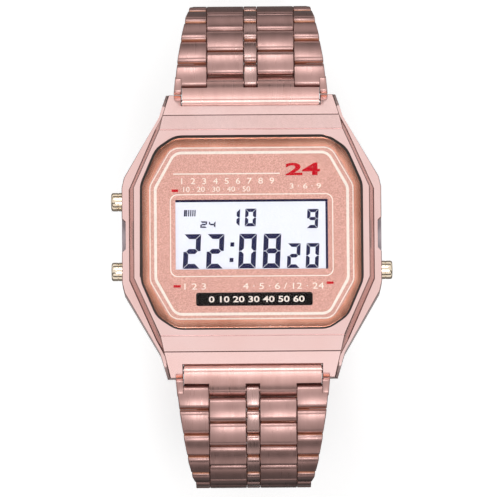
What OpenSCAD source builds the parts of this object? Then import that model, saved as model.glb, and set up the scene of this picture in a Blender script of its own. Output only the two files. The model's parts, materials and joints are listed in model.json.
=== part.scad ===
// Digital wristwatch with a five column metal bracelet, closed in a loop that stands on its clasp.
// The dial faces up, twelve o'clock is towards +Y and three o'clock towards +X.
// The origin is on the ground under the middle of the watch.

/* [Case] */
// Width of the case over its side wings
case_w = 33.6; // [33:0.1:35]
// Length of the case over its lug tips
case_l = 36.95; // [36.8:0.05:38.4]
// Height of the metal case body from its underside to the bezel
body_h = 7.3; // [7.2:0.1:8.5]
// Length of the straight side of the wings
wing_flat = 12.4; // [11.5:0.1:13]
// Height of the bezel block above the wings
wing_drop = 2.6; // [2.2:0.1:3]
// Width of the bezel block across its long sides
bezel_w = 30.5; // [30.2:0.1:31]
// Length of the bezel block between its front and rear edges
bezel_l = 26.8; // [26.4:0.1:27.4]
// Width of the bezel block along its front edge
bezel_front_w = 23.8; // [23.4:0.1:24.2]
// Length of the straight side of the bezel block
bezel_flat = 11.8; // [10.5:0.1:12.4]
// Length between the two creases that cross the lug slopes
crease_l = 30.8; // [30.2:0.1:31.4]
// Width of the case at the creases
crease_w = 23.8; // [23.6:0.1:24.2]
// Fall from the bezel to the crease
crease_drop = 0.9; // [0.6:0.1:1.2]
// Width of the case at the lug tips
tip_w = 22; // [21.2:0.1:22.4]
// Fall from the bezel to the lug tip
tip_drop = 4.1; // [3.6:0.1:4.2]
// Thickness of a lug tip
tip_t = 1.9; // [1.6:0.1:2]
// Length of the notch in the middle of each wing
notch_l = 3.6; // [2:0.1:4.5]
// Depth of the notch in each wing
notch_d = 0.5; // [0.3:0.1:0.8]
// Height of the notch in each wing
notch_h = 1.6; // [1:0.1:2.4]

/* [Dial] */
// Width of the crystal opening
opening_w = 28.8; // [28:0.1:29]
// Length of the crystal opening
opening_l = 25.3; // [24.6:0.1:25.5]
// Length of the straight top edge of the crystal opening
opening_top = 19.8; // [19:0.1:20.4]
// Length of the straight side of the crystal opening
opening_side = 12.6; // [11:0.1:13.2]
// Width between the shoulders of the crystal opening
shoulder_w = 24.8; // [24.2:0.1:25.2]
// Length between the shoulders of the crystal opening
shoulder_l = 21.9; // [21:0.1:22]
// Radius of the corners of the crystal opening
corner_r = 3; // [1:0.5:4]
// Thickness of the crystal
crystal_t = 1.1; // [0.8:0.1:1.2]
// Thickness of the printed face plate
plate_t = 0.35; // [0.2:0.05:0.4]
// Width of the display window
window_w = 19.7; // [18:0.1:20]
// Length of the display window
window_l = 9.1; // [8:0.1:9.4]
// Shift of the display window towards six o'clock
window_shift = 0.15; // [0:0.05:0.4]

/* [Module] */
// Thickness of the metal ledge that the face plate lies on
ledge_t = 0.7; // [0.5:0.1:1]
// Width of the module cavity
cavity_w = 25.2; // [24.8:0.1:25.4]
// Length of the module cavity
cavity_l = 21.4; // [21:0.1:21.6]
// Length of the straight top edge of the cavity
cavity_top = 17.2; // [16.4:0.1:17.6]
// Length of the straight side of the cavity
cavity_side = 11.2; // [10.4:0.1:11.6]
// Wall of the module cavity beyond the display glass
lcd_inset = 1.9; // [1.8:0.05:2.2]
// Length of the display glass
lcd_l = 12.4; // [11.6:0.1:12.6]
// Thickness of the display glass
lcd_t = 1.2; // [1:0.1:1.4]
// Length of the light panel behind the display
panel_l = 10; // [9:0.1:10.4]
// Thickness of the light panel
panel_t = 0.5; // [0.3:0.1:0.6]
// Thickness of a rubber contact strip
strip_t = 0.7; // [0.5:0.1:0.8]
// Thickness of the circuit board
board_t = 0.7; // [0.5:0.1:0.8]
// Diameter of the coin battery
battery_d = 20; // [18:0.1:20.2]
// Thickness of the coin battery
battery_t = 1.6; // [1.2:0.1:1.7]

/* [Back] */
// Thickness of the back cover
back_t = 0.8; // [0.7:0.05:1]
// Diameter of a back screw's thread
screw_d = 1; // [0.8:0.1:1.1]
// Diameter of a back screw's head
screw_head_d = 1.7; // [1.5:0.1:1.8]
// Width between the back screws
screw_span_w = 22.6; // [22.3:0.1:22.8]
// Length between the back screws
screw_span_l = 18.4; // [18.2:0.1:18.6]
// Diameter of the sounder disc
sounder_d = 14; // [12:0.1:14.5]

/* [Pushers] */
// Diameter of a pusher cap
cap_d = 2.4; // [2:0.1:2.6]
// Length that a pusher cap stands out of the case
cap_out = 1.4; // [1.2:0.1:1.6]
// Travel of a pusher
travel = 0.7; // [0.5:0.1:0.8]
// Diameter of a pusher stem
stem_d = 1.2; // [0.9:0.1:1.3]
// Distance of the pushers from the middle of the side
pusher_y = 4.55; // [4.3:0.05:4.8]
// Height of the pusher axes above the case body's underside
pusher_h = 3; // [2.7:0.1:3.1]

/* [Bracelet] */
// Pitch of the link rows
pitch = 3.2; // [3.1:0.05:3.5]
// Width of the bracelet at its first row
first_w = 20; // [19.4:0.1:20.2]
// Loss of width from one row to the next
taper = 1; // [0.8:0.02:1.1]
// Width of the bracelet at the clasp
last_w = 15; // [14.8:0.1:15.4]
// Width of the three inner columns together
inner_w = 11.3; // [10.8:0.1:11.8]
// Width of the centre column
centre_w = 1.7; // [1.4:0.1:2]
// Diameter of a link pin
pin_d = 0.7; // [0.5:0.05:0.8]
// Width of the end link's barrel
end_link_w = 17.8; // [17.4:0.1:17.9]
// Diameter of the end link's barrel
barrel_d = 2.7; // [2.5:0.1:2.8]
// Diameter of a spring bar
bar_d = 1; // [0.8:0.1:1.1]
// Distance of a lug spring bar from the tip of its lugs
bar_inset = 1.1; // [1:0.05:1.2]
// Distance from a lug spring bar to the first bracelet pin
first_reach = 2.8; // [2.7:0.05:3]
// Height of the lug spring bars above the case body's underside
bar_h = 2.9; // [2.7:0.1:2.95]
// Slope of the end link below the dial plane, where a negative one rises
end_slope = -4; // [-6:0.5:2]
// Bend before the first row
first_bend = 6; // [4:0.5:8]
// Bend before each of the rows on the shoulder
shoulder_bend = 19.5; // [18:0.5:21]
// Bend before each of the rows down the side
side_bend = 8.4; // [7:0.1:9]
// Bend before each of the rows that turn in to the clasp
base_bend = 6; // [5:0.5:7]

/* [Clasp] */
// Thickness of the clasp sheets
sheet_t = 0.8; // [0.6:0.05:0.9]
// Width of the clasp cover
cover_w = 17; // [16.8:0.1:17.6]
// Length of the flat foot of the clasp cover
foot_l = 20; // [17:0.5:21]
// Depth of the clasp below the last bracelet pins
clasp_drop = 6.5; // [6.4:0.1:7.2]
// Rise of the clasp cover from its foot to its ends
end_rise = 2; // [1.8:0.1:2.2]
// Width of the outer folding blade
blade_w = 12.4; // [12:0.1:12.6]
// Width of the inner folding blade
tongue_w = 7; // [6.6:0.1:7.4]

/* [Hidden] */
$fn = 48;

// Clearances between pieces
seat_gap = 0.05;
side_gap = 0.08;
run_gap = 0.05;
cut = 1;

// Rows of links in each half of the bracelet
row_count = 14;

// Distance between the two spring bars in the lugs
bar_span = case_l - 2 * bar_inset;
lcd_w = cavity_w - 2 * lcd_inset;

// Colours of the finishes
rose = [0.93, 0.76, 0.72];
rose_dark = [0.78, 0.61, 0.57];
ivory = [0.95, 0.9, 0.8];
steel = [0.75, 0.76, 0.78];

// Bracelet chain: slopes are degrees below the dial plane, places are [y, z] on the +Y half
link_r = pitch / 4 - side_gap;
function bend(k) = k == 1 ? first_bend : k < 6 ? shoulder_bend : k < 11 ? side_bend : base_bend;
function slope(k) = k == 0 ? end_slope : slope(k - 1) + bend(k);
function step(a, length) = [length * cos(a), -length * sin(a)];
function pin_at(k) = k == 1
  ? [bar_span / 2, 0] + step(end_slope, first_reach)
  : pin_at(k - 1) + step(slope(k - 1), pitch);
chain_end = pin_at(row_count + 1);
function row_w(k) = max(last_w, first_w - taper * (k - 1));

// Heights
crystal_sink = 0.15;
battery_lift = 0.35;
board_lift = 0.15;
bar_z = clasp_drop - chain_end.y;
body_z = bar_z - bar_h;
back_z = body_z - back_t;
top_z = body_z + body_h;
wing_z = top_z - wing_drop;
crystal_z = top_z - crystal_sink - crystal_t;
plate_z = crystal_z - seat_gap - plate_t;
roof_z = plate_z - ledge_t;
lcd_z = plate_z - seat_gap - lcd_t;
panel_z = lcd_z - seat_gap - panel_t;
battery_z = body_z + battery_lift;
board_z = battery_z + battery_t + board_lift;
board_top = board_z + board_t;
pusher_z = body_z + pusher_h;

// Closed eight or twelve sided outlines from the corners of one quarter
function unit(v) = v / norm(v);
function outward(p, q) = unit([p.y - q.y, q.x - p.x]);
function cross_at(a, ca, b, cb) =
  [ca * b.y - cb * a.y, a.x * cb - b.x * ca] / (a.x * b.y - a.y * b.x);
function mirrored(q) = concat(
  q,
  [for (i = [len(q) - 1:-1:0]) [-q[i].x, q[i].y]],
  [for (p = q) [-p.x, -p.y]],
  [for (i = [len(q) - 1:-1:0]) [q[i].x, -q[i].y]]
);
corner_steps = 3;
function corner_arc(a, p, b, r) =
  let (
    u = unit(a - p),
    v = unit(b - p),
    half = acos(u * v) / 2,
    middle = p + unit(u + v) * (r / sin(half)),
    first = p + u * (r / tan(half)) - middle,
    last = p + v * (r / tan(half)) - middle,
    start = atan2(first.y, first.x),
    turn = atan2(last.y, last.x) - start,
    sweep = turn > 180 ? turn - 360 : turn < -180 ? turn + 360 : turn
  )
  [for (i = [0:corner_steps]) middle + r * [cos(start + sweep * i / corner_steps), sin(start + sweep * i / corner_steps)]];
function rounded(p, r) = [
  for (i = [0:len(p) - 1])
    each corner_arc(p[(i + len(p) - 1) % len(p)], p[i], p[(i + 1) % len(p)], r)
];
function opening_outline(d) =
  let (
    top_corner = [opening_top / 2, opening_l / 2],
    shoulder = [shoulder_w / 2, shoulder_l / 2],
    side_corner = [opening_w / 2, opening_side / 2],
    n1 = outward(top_corner, shoulder),
    n2 = outward(shoulder, side_corner),
    c1 = n1 * shoulder + d,
    c2 = n2 * shoulder + d
  )
  rounded(mirrored([
    cross_at([1, 0], opening_w / 2 + d, n2, c2),
    cross_at(n2, c2, n1, c1),
    cross_at(n1, c1, [0, 1], opening_l / 2 + d)
  ]), corner_r + d);
function cavity_outline(d) =
  let (
    top_corner = [cavity_top / 2, cavity_l / 2],
    side_corner = [cavity_w / 2, cavity_side / 2],
    n = outward(top_corner, side_corner),
    c = n * top_corner + d
  )
  mirrored([
    cross_at([1, 0], cavity_w / 2 + d, n, c),
    cross_at(n, c, [0, 1], cavity_l / 2 + d)
  ]);
wing_ease = 0.3;
wing_ease_l = 1.3;
bezel_in = 0.45;
lug_in = 0.35;
wing_outline = mirrored([
  [case_w / 2, wing_flat / 2],
  [case_w / 2 - wing_ease, wing_flat / 2 + wing_ease_l],
  [crease_w / 2, crease_l / 2],
  [tip_w / 2, case_l / 2]
]);
bezel_outline = mirrored([
  [bezel_w / 2, bezel_flat / 2],
  [bezel_front_w / 2, bezel_l / 2],
  [crease_w / 2 - bezel_in, crease_l / 2],
  [tip_w / 2 - lug_in, case_l / 2]
]);

// A plate of a given outline
module plate(outline, low, high) {
  translate([0, 0, low]) linear_extrude(high - low) polygon(outline);
}

// A block centred on the Z axis
module block(w, l, low, high, at = [0, 0]) {
  translate([at.x - w / 2, at.y - l / 2, low]) cube([w, l, high - low]);
}

// A rod along X, centred on x = 0, at a place [y, z]
module rod(d, length, at) {
  translate([-length / 2, at.x, at.y]) rotate([0, 90, 0]) cylinder(d = d, h = length);
}

// A rod along X between two x values
module rod_between(d, x0, x1, y, z) {
  translate([x0, y, z]) rotate([0, 90, 0]) cylinder(d = d, h = x1 - x0);
}

// Case: side profile of the lugs and hood, drawn in the YZ plane
lug_heel = 2.6;
module case_profile(lift) {
  half = [
    [case_l / 2 - lug_heel, body_z],
    [case_l / 2, top_z - tip_drop - tip_t + lift],
    [case_l / 2, top_z - tip_drop + lift],
    [crease_l / 2, top_z - crease_drop + lift],
    [bezel_l / 2, top_z + lift]
  ];
  points = concat(half, [for (i = [len(half) - 1:-1:0]) [-half[i].x, half[i].y]]);
  rotate([90, 0, 90]) translate([0, 0, -case_w]) linear_extrude(2 * case_w) polygon(points);
}

module case_blank() {
  intersection() {
    plate(wing_outline, body_z, wing_z);
    case_profile(-lug_in);
  }
  intersection() {
    plate(bezel_outline, body_z, top_z);
    case_profile(0);
  }
}

lug_slot_d = barrel_d + 0.3;
slot_in = 0.5;
module lug_slot() {
  rod(lug_slot_d, end_link_w + 0.2, [bar_span / 2, bar_z]);
  translate([-end_link_w / 2 - 0.1, bar_span / 2 - slot_in, body_z - cut])
    cube([end_link_w + 0.2, case_l, body_h + 2 * cut]);
  translate([-end_link_w / 2 - 0.1, bar_span / 2 - lug_slot_d / 2, body_z - cut])
    cube([end_link_w + 0.2, case_l, bar_h + cut]);
}

bar_hole_d = bar_d + 0.06;
bar_l = end_link_w + 1.4;
cap_hole_d = cap_d + 0.2;
cap_room = 2.2;
stem_hole_d = stem_d + 0.1;
seal_seat_d = stem_d + 0.9;
seal_w = 0.6;
seal_x = case_w / 2 - cap_room - 1.3;
module pusher_bore(side, y) {
  mirror([side < 0 ? 1 : 0, 0, 0]) {
    rod_between(stem_hole_d, cavity_w / 2 - cut, case_w / 2 + cut, y, pusher_z);
    rod_between(cap_hole_d, case_w / 2 - cap_room, case_w / 2 + cut, y, pusher_z);
    rod_between(seal_seat_d, seal_x, seal_x + seal_w, y, pusher_z);
  }
}

module wing_notch() {
  translate([case_w / 2 - notch_d, 0, wing_z - notch_h]) linear_extrude(body_h) polygon([
    [0, -notch_l / 2], [0, notch_l / 2], [2 * notch_d, notch_l / 2 + 2 * notch_d],
    [2 * notch_d, -notch_l / 2 - 2 * notch_d]
  ]);
}

gasket_w = 0.5;
gasket_t = 0.4;
gasket_out = 0.75;
module case_body() {
  color(rose) difference() {
    case_blank();
    plate(cavity_outline(0), body_z - cut, roof_z);
    plate(opening_outline(0), plate_z, top_z + cut);
    block(lcd_w + 0.2, lcd_l + 0.2, roof_z - cut, plate_z + cut);
    lug_slot();
    mirror([0, 1, 0]) lug_slot();
    rod(bar_hole_d, bar_l + 0.1, [bar_span / 2, bar_z]);
    rod(bar_hole_d, bar_l + 0.1, [-bar_span / 2, bar_z]);
    pusher_bore(-1, pusher_y);
    pusher_bore(-1, -pusher_y);
    pusher_bore(1, -pusher_y);
    wing_notch();
    mirror([1, 0, 0]) wing_notch();
    at_screws() cylinder(d = screw_d, h = screw_l);
    difference() {
      plate(cavity_outline(gasket_out), body_z - cut, body_z + gasket_t);
      plate(cavity_outline(gasket_out - gasket_w), body_z - 2 * cut, body_z + gasket_t + cut);
    }
  }
}

// Crystal, gasket and face plate
gasket_wall = 0.22;
crystal_inset = seat_gap + gasket_wall + seat_gap;
module crystal() {
  color([0.9, 0.95, 1, 0.4]) plate(opening_outline(-crystal_inset), crystal_z, crystal_z + crystal_t);
}

module crystal_gasket() {
  color([0.1, 0.08, 0.08]) difference() {
    plate(opening_outline(-seat_gap), crystal_z, crystal_z + crystal_t - 0.1);
    plate(opening_outline(-seat_gap - gasket_wall), crystal_z - cut, top_z + cut);
  }
}

module face_plate() {
  color([0.88, 0.63, 0.57]) difference() {
    plate(opening_outline(-seat_gap), plate_z, plate_z + plate_t);
    block(window_w, window_l, plate_z - cut, plate_z + cut, [0, -window_shift]);
  }
}

// Display and its light
module lcd_panel() {
  color([0.9, 0.93, 1]) block(lcd_w, lcd_l, lcd_z, lcd_z + lcd_t);
}

module light_panel() {
  color([0.85, 0.95, 0.9]) block(lcd_w - 1, panel_l, panel_z, panel_z + panel_t);
}

strip_y = panel_l / 2 + 0.15 + strip_t / 2;
module contact_strips() {
  color([0.85, 0.6, 0.7]) for (side = [-1, 1])
    block(lcd_w - 2, strip_t, board_top, lcd_z, [0, side * strip_y]);
}

// Module frame, board and what is on it
frame_gap = 0.15;
frame_window_l = 2 * strip_y + strip_t + 0.1;
module module_frame() {
  color([0.15, 0.15, 0.16]) difference() {
    plate(cavity_outline(-frame_gap), board_top + seat_gap, roof_z - seat_gap);
    block(lcd_w + 0.1, lcd_l + 0.1, lcd_z - seat_gap, roof_z + cut);
    block(lcd_w - 0.8, frame_window_l, board_top - cut, roof_z);
    for (y = [pusher_y, -pusher_y]) for (side = [-1, 1])
      block(3, 3, board_top - cut, roof_z + cut, [side * (cavity_w / 2 - 0.7), y]);
  }
}

module circuit_board() {
  color([0.1, 0.4, 0.25]) difference() {
    plate(cavity_outline(-0.2), board_z, board_top);
    for (y = [pusher_y, -pusher_y]) for (side = [-1, 1])
      block(3, 3, board_z - cut, board_top + cut, [side * (cavity_w / 2 - 0.7), y]);
  }
}

part_h = min(0.5, panel_z - board_top - seat_gap);
chip_d = 5;
chip_x = 4;
can_w = 3.2;
can_l = 1.5;
can_x = 3.5;
can_y = 2.2;
lamp_w = 1.6;
lamp_l = 0.8;
lamp_x = 8;
lamp_y = 3;
coil_w = 2.4;
module board_components() {
  part_top = board_top + part_h;
  color([0.12, 0.12, 0.13]) translate([-chip_x, 0, board_top]) cylinder(d = chip_d, h = part_h);
  color(steel) block(can_w, can_l, board_top, part_top, [can_x, can_y]);
  color([0.9, 0.95, 0.9]) block(lamp_w, lamp_l, board_top, part_top, [lamp_x, -lamp_y]);
  color([0.6, 0.35, 0.15]) block(coil_w, coil_w, board_top, part_top, [chip_x, -coil_w]);
}

module battery() {
  color(steel) {
    translate([0, 0, battery_z + 0.3]) cylinder(d = battery_d, h = battery_t - 0.3);
    translate([0, 0, battery_z]) cylinder(d = battery_d - 2, h = 0.3);
  }
}

clip_w = 3;
clip_t = 0.15;
clip_y = battery_d / 2 + 0.12 + clip_t / 2;
module battery_clip() {
  color(steel) {
    block(clip_w, 2 * clip_y + clip_t, battery_z - clip_t - 0.03, battery_z - 0.03, [-4, 0]);
    for (side = [-1, 1])
      block(clip_w, clip_t, battery_z - 0.03, board_z, [-4, side * clip_y]);
  }
}

// Sounder: a disc in a pocket of the back cover, and the spring that feeds it
sounder_x = 5.2;
pocket_d = 0.3;
disc_t = 0.15;
spring_x = sounder_x + sounder_d / 2 - 0.9;
module sounder_disc() {
  color([0.85, 0.7, 0.35]) translate([sounder_x, 0, back_z + back_t - pocket_d + 0.02])
    cylinder(d = sounder_d, h = disc_t);
}

module sounder_spring() {
  low = back_z + back_t - pocket_d + 0.02 + disc_t;
  color([0.85, 0.7, 0.35]) translate([spring_x, 0, low]) difference() {
    cylinder(d = 1.2, h = board_z - low);
    translate([0, 0, -cut]) cylinder(d = 0.8, h = board_z - low + 2 * cut);
  }
}

// Back cover, gasket and screws
screw_l = 2;
module at_screws() {
  for (x = [-1, 1]) for (y = [-1, 1])
    translate([x * screw_span_w / 2, y * screw_span_l / 2, body_z]) children();
}

head_sink = 0.4;
module back_cover() {
  color(steel) difference() {
    plate(opening_outline(-0.3), back_z, body_z);
    translate([sounder_x, 0, body_z - pocket_d]) cylinder(d = sounder_d + 0.2, h = cut);
    at_screws() {
      translate([0, 0, -back_t - cut]) cylinder(d = screw_d + 0.2, h = back_t + 2 * cut);
      translate([0, 0, -back_t - cut]) cylinder(d = screw_head_d + 0.1, h = head_sink + cut);
    }
  }
}

module back_gasket() {
  color([0.1, 0.1, 0.1]) difference() {
    plate(cavity_outline(gasket_out - 0.05), body_z, body_z + gasket_t - 0.05);
    plate(cavity_outline(gasket_out - gasket_w + 0.05), body_z - cut, body_z + gasket_t + cut);
  }
}

module back_screws() {
  color(steel) at_screws() {
    difference() {
      translate([0, 0, -back_t]) cylinder(d = screw_head_d, h = head_sink);
      translate([-screw_head_d, -0.1, -back_t - cut]) cube([2 * screw_head_d, 0.2, cut + 0.2]);
    }
    translate([0, 0, head_sink - back_t]) cylinder(d = screw_d, h = back_t - head_sink + screw_l - 0.2);
  }
}

// Pushers: cap, stem and the retaining ring in the cavity, drawn for the +X side
cap_in = cap_room - travel - 0.4;
ring_x = cavity_w / 2 - 0.6;
module pusher(side, y) {
  color(ivory) mirror([side < 0 ? 1 : 0, 0, 0]) {
    rod_between(cap_d, case_w / 2 - cap_in, case_w / 2 + cap_out - 0.2, y, pusher_z);
    translate([case_w / 2 + cap_out - 0.2, y, pusher_z]) rotate([0, 90, 0])
      cylinder(d1 = cap_d, d2 = cap_d - 0.4, h = 0.2);
    rod_between(stem_d, ring_x - 0.2, case_w / 2 - cap_in, y, pusher_z);
    rod_between(stem_d + 0.7, ring_x, ring_x + 0.3, y, pusher_z);
  }
}

module light_pusher() {
  pusher(-1, pusher_y);
}

module mode_pusher() {
  pusher(-1, -pusher_y);
}

module start_pusher() {
  pusher(1, -pusher_y);
}

module at_pushers() {
  for (p = [[-1, pusher_y], [-1, -pusher_y], [1, -pusher_y]])
    translate([0, p.y, pusher_z]) mirror([p.x < 0 ? 1 : 0, 0, 0]) children();
}

module pusher_springs() {
  color(steel) at_pushers() difference() {
    rod_between(cap_d - 0.3, case_w / 2 - cap_room, case_w / 2 - cap_in, 0, 0);
    rod_between(stem_d + 0.2, case_w / 2 - cap_room - cut, case_w / 2, 0, 0);
  }
}

module pusher_seals() {
  color([0.1, 0.1, 0.1]) at_pushers() difference() {
    rod_between(seal_seat_d - 0.06, seal_x + 0.05, seal_x + seal_w - 0.05, 0, 0);
    rod_between(stem_d + 0.06, seal_x - cut, seal_x + cut, 0, 0);
  }
}

// Bracelet: a link is a bar with round ends, drawn along +Y from its first pin
module link_bar(x0, x1, length, r) {
  w = x1 - x0;
  translate([x0, 0, 0]) rotate([0, 90, 0]) cylinder(r = r, h = w);
  translate([x0, length, 0]) rotate([0, 90, 0]) cylinder(r = r, h = w);
  translate([x0, 0, -r]) cube([w, length, 2 * r]);
}

// A cross hole for a pin, at a distance along the row
hole_d = pin_d + 2 * run_gap;
module cross_hole(s) {
  rod(hole_d, 2 * first_w, [s, 0]);
}

centre_x = centre_w / 2;
inner_x0 = centre_x + side_gap;
inner_x1 = inner_w / 2;
outer_x0 = inner_x1 + side_gap;
half_pitch = pitch / 2;

module outer_link(k) {
  wide = row_w(k) / 2;
  narrow = row_w(k + 1) / 2;
  shrink = (wide - narrow) / pitch;
  difference() {
    link_bar(outer_x0, wide, half_pitch, link_r);
    cross_hole(0);
    cross_hole(half_pitch);
    linear_extrude(4 * link_r, center = true) polygon([
      [wide + cut, -pitch], [wide + shrink * link_r, -pitch], [wide + shrink * link_r, -link_r],
      [wide - shrink * pitch, pitch - link_r], [wide - shrink * pitch, pitch], [wide + cut, pitch]
    ]);
  }
}

module inner_link(length, holes) {
  difference() {
    link_bar(inner_x0, inner_x1, length, link_r);
    for (s = holes) cross_hole(s);
  }
}

module centre_link() {
  difference() {
    link_bar(-centre_x, centre_x, half_pitch, link_r);
    cross_hole(0);
    cross_hole(half_pitch);
  }
}

// Ear of a first row's outer link, beside the end link, up to the lug tip
ear_gap = 0.15;
ear_l = pin_at(1).x - case_l / 2 - ear_gap;
module ear() {
  x0 = end_link_w / 2 + side_gap;
  difference() {
    translate([x0, -ear_l, -link_r]) cube([first_w / 2 - x0, ear_l, 2 * link_r]);
    cross_hole(0);
  }
}

// One row: outer and centre links, the inner pair half a pitch on, and two pins
module row_parts(k) {
  color(rose_dark) {
    for (side = [0, 1]) mirror([side, 0, 0]) {
      outer_link(k);
      if (k == 1) ear();
    }
    centre_link();
  }
  color(rose) for (side = [0, 1]) mirror([side, 0, 0]) translate([0, half_pitch, 0])
    inner_link(half_pitch, [0, half_pitch]);
  color(steel) {
    rod(pin_d, row_w(k + 1) - 1, [half_pitch, 0]);
    rod(pin_d, row_w(k + 2) - 1, [pitch, 0]);
  }
}

// The row at the open end of the twelve o'clock half stops short of the clasp's spring bar
open_gap = 0.3;
module open_row_parts(k) {
  color(rose_dark) {
    for (side = [0, 1]) mirror([side, 0, 0]) outer_link(k);
    centre_link();
  }
  color(rose) for (side = [0, 1]) mirror([side, 0, 0]) translate([0, half_pitch, 0]) difference() {
    inner_link(half_pitch, [0]);
    translate([0, half_pitch - bar_d / 2 - open_gap, -2 * link_r]) cube([inner_w, pitch, 4 * link_r]);
  }
  color(steel) rod(pin_d, row_w(k + 1) - 1, [half_pitch, 0]);
}

// Places a row on the +Y half, or mirrors it to the -Y half
module on_half(six) {
  mirror([0, six ? 1 : 0, 0]) children();
}

module at_row(k) {
  p = pin_at(k);
  translate([0, p.x, bar_z + p.y]) rotate([-slope(k), 0, 0]) children();
}

module row_12(k) {
  at_row(k) {
    if (k == row_count) open_row_parts(k);
    if (k < row_count) row_parts(k);
  }
}

module row_6(k) {
  on_half(true) at_row(k) row_parts(k);
}

// End link: a barrel on the spring bar under a wide hood, and two tongues that carry the first pin
hood_l = first_reach - link_r - side_gap;
hood_h = barrel_d / 2 - 0.05;
hood_end_h = 1;
module hood_plate(x0, x1, far_points) {
  points = concat([[0, hood_h], [0, -hood_h], [hood_l, -link_r]], far_points, [[hood_l, hood_end_h]]);
  translate([x0, 0, 0]) rotate([90, 0, 90]) linear_extrude(x1 - x0) polygon(points);
}

module end_link(six) {
  on_half(six) translate([0, bar_span / 2, bar_z]) rotate([-end_slope, 0, 0]) {
    color(rose_dark) difference() {
      union() {
        rod(barrel_d, end_link_w, [0, 0]);
        hood_plate(-end_link_w / 2, end_link_w / 2, []);
        for (side = [0, 1]) mirror([side, 0, 0]) {
          hood_plate(inner_x0, inner_x1, [[first_reach, -link_r], [first_reach, link_r]]);
          eye([first_reach, 0], link_r, inner_x0, inner_x1);
        }
      }
      rod(bar_hole_d, end_link_w + cut, [0, 0]);
      cross_hole(first_reach);
    }
    color(steel) rod(pin_d, row_w(2) - 1, [first_reach, 0]);
  }
}

module end_link_12() {
  end_link(false);
}

module end_link_6() {
  end_link(true);
}

module lug_spring_bars() {
  color(steel) for (side = [-1, 1]) rod(bar_d, bar_l, [side * bar_span / 2, bar_z]);
}

// Clasp: places of its pins as [y, z]
bar_pin = [chain_end.x, clasp_drop];
six_pin = [-chain_end.x, clasp_drop];
cover_half = chain_end.x - 1;
blade_r = 0.75;
cover_pin = [-cover_half + 0.55, end_rise + sheet_t + blade_r + 0.15];
blade_pin = [foot_l / 2 - 1.5, sheet_t + blade_r + 1.3];
wall_h = 3.2;
clasp_hole_d = pin_d + 2 * run_gap;
clasp_gap = 0.3;

// A bent strip in the YZ plane through a list of places, with mitred corners
function normal_at(p, i) = unit([p[i].y - p[i + 1].y, p[i + 1].x - p[i].x]);
function strip_side(p, d) = [
  for (i = [0:len(p) - 1])
    i == 0 ? p[i] + d * normal_at(p, 0)
    : i == len(p) - 1 ? p[i] + d * normal_at(p, i - 1)
    : let (m = normal_at(p, i - 1), n = normal_at(p, i)) p[i] + d * (m + n) / (1 + m * n)
];
module strip(points, x0, x1, t) {
  far = strip_side(points, t / 2);
  near = strip_side(points, -t / 2);
  rotate([90, 0, 90]) translate([0, 0, x0]) linear_extrude(x1 - x0)
    polygon(concat(far, [for (i = [len(near) - 1:-1:0]) near[i]]));
}

// An eye round a pin
module eye(at, r, x0, x1) {
  translate([x0, at.x, at.y]) rotate([0, 90, 0]) cylinder(r = r, h = x1 - x0);
}

// Cover: a flat foot, two ends that rise to the bracelet, side walls and a tab for the spring bar
module cover_side(x0) {
  half = [[cover_half, end_rise], [cover_half, cover_pin.y + blade_r], [foot_l / 2, wall_h]];
  points = concat(
    [[-foot_l / 2, 0], [foot_l / 2, 0]],
    half,
    [for (i = [2:-1:0]) [-half[i].x, half[i].y]]
  );
  translate([x0, 0, 0]) rotate([90, 0, 90]) linear_extrude(sheet_t) polygon(points);
}

tab_r = bar_d / 2 + 0.35;
module clasp_cover() {
  floor_points = [
    [-cover_half, end_rise], [-foot_l / 2, 0], [foot_l / 2, 0], [cover_half, end_rise],
    [cover_half, end_rise + sheet_t], [foot_l / 2, sheet_t], [-foot_l / 2, sheet_t],
    [-cover_half, end_rise + sheet_t]
  ];
  color(rose) difference() {
    union() {
      rotate([90, 0, 90]) translate([0, 0, -cover_w / 2]) linear_extrude(cover_w) polygon(floor_points);
      cover_side(cover_w / 2 - sheet_t);
      cover_side(-cover_w / 2);
      strip([[cover_half - 0.6, end_rise + sheet_t / 2], bar_pin], -centre_x, centre_x, sheet_t);
      eye(bar_pin, tab_r, -centre_x, centre_x);
    }
    rod(clasp_hole_d, cover_w + cut, cover_pin);
    rod(bar_hole_d, cover_w + cut, bar_pin);
  }
}

module clasp_spring_bar() {
  color(steel) rod(bar_d, inner_w - 0.4, bar_pin);
}

// Outer blade: a frame of two rails between its two pins, with the pins
rail_x0 = tongue_w / 2 + clasp_gap;
rail_x1 = blade_w / 2;
bridge_l = 3;
module clasp_outer_blade() {
  color(rose_dark) {
    for (side = [0, 1]) mirror([side, 0, 0]) difference() {
      union() {
        strip([cover_pin, blade_pin], rail_x0, rail_x1, sheet_t);
        eye(cover_pin, blade_r, rail_x0, rail_x1);
        eye(blade_pin, blade_r, rail_x0, rail_x1);
      }
      rod(clasp_hole_d, blade_w + cut, cover_pin);
      rod(clasp_hole_d, blade_w + cut, blade_pin);
    }
    block(2 * rail_x0 + 1, bridge_l, sheet_t + clasp_gap, blade_pin.y, [0, 0]);
  }
  color(steel) {
    rod(pin_d, cover_w - 0.4, cover_pin);
    rod(pin_d, blade_w - 0.4, blade_pin);
  }
}

// Inner blade: a tongue from the blade pin over the cover pin to the last pin of the six o'clock half
tongue_y = cover_pin.y + pin_d / 2 + clasp_gap + sheet_t / 2;
tongue_bend = [blade_pin.x - 3, tongue_y];
tongue_end = [cover_pin.x, tongue_y];
module clasp_inner_blade() {
  color(rose) difference() {
    union() {
      strip([blade_pin, tongue_bend, tongue_end], -tongue_w / 2, tongue_w / 2, sheet_t);
      strip([tongue_bend, tongue_end, six_pin], -centre_x, centre_x, sheet_t);
      eye(blade_pin, blade_r, -tongue_w / 2, tongue_w / 2);
      eye(six_pin, link_r, -centre_x, centre_x);
    }
    rod(clasp_hole_d, blade_w + cut, blade_pin);
    rod(hole_d, blade_w + cut, six_pin);
  }
}

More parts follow.
